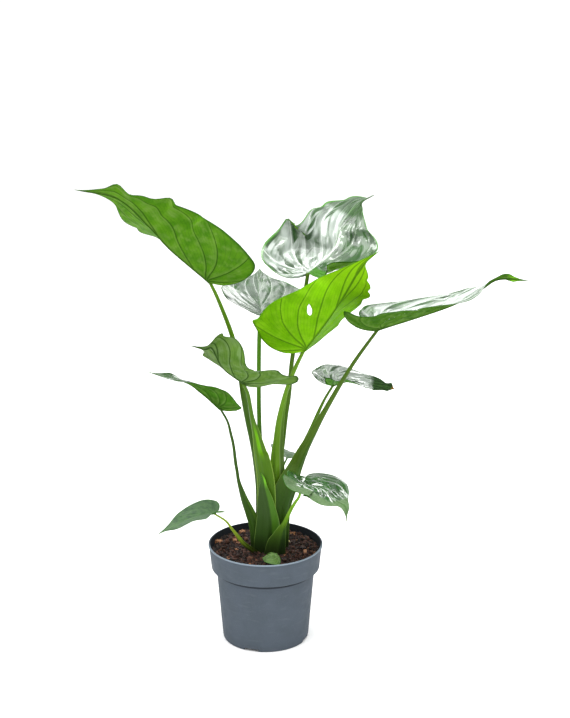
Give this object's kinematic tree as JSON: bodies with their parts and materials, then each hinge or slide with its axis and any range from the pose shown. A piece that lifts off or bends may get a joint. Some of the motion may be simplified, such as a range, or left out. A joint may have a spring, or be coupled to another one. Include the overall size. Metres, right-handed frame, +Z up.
{
  "type": "potted chinese taro",
  "caption": "Potted houseplant with a clump of glossy heart-shaped leaves on long sheathing stalks, rooted in bark soil in a round tapered nursery pot with a deep collar.",
  "frame": {"origin": "centre of the flat pad under the pot, on the ground", "axes": "+Z up along the pot's axis; the plant's front, as it is shown, faces -Y and its widest spread runs along X"},
  "size_m": [0.7172, 0.3888, 0.7727],
  "materials": {
    "pot": "satin",
    "soil": "rough",
    "corm": "rough",
    "stalk": "satin",
    "leaf": "glossy"
  },
  "bodies": {
    "root": {"pot": "pot", "soil": "soil", "corm": "corm", "front_sheath": "stalk", "petiole_upper_left": "stalk", "petiole_upper_back": "stalk", "petiole_upper_centre": "stalk", "petiole_right": "stalk", "petiole_back": "stalk", "petiole_middle_left": "stalk", "petiole_middle_right": "stalk", "petiole_lower_left": "stalk", "petiole_lower_right": "stalk", "petiole_low_left": "stalk", "petiole_inner": "stalk", "petiole_seedling": "stalk", "blade_upper_left": "leaf", "blade_upper_back": "leaf", "blade_upper_centre": "leaf", "blade_right": "leaf", "blade_back": "leaf", "blade_middle_left": "leaf", "blade_middle_right": "leaf", "blade_lower_left": "leaf", "blade_lower_right": "leaf", "blade_low_left": "leaf", "blade_inner": "leaf", "blade_seedling": "leaf"}
  },
  "joints": []
}
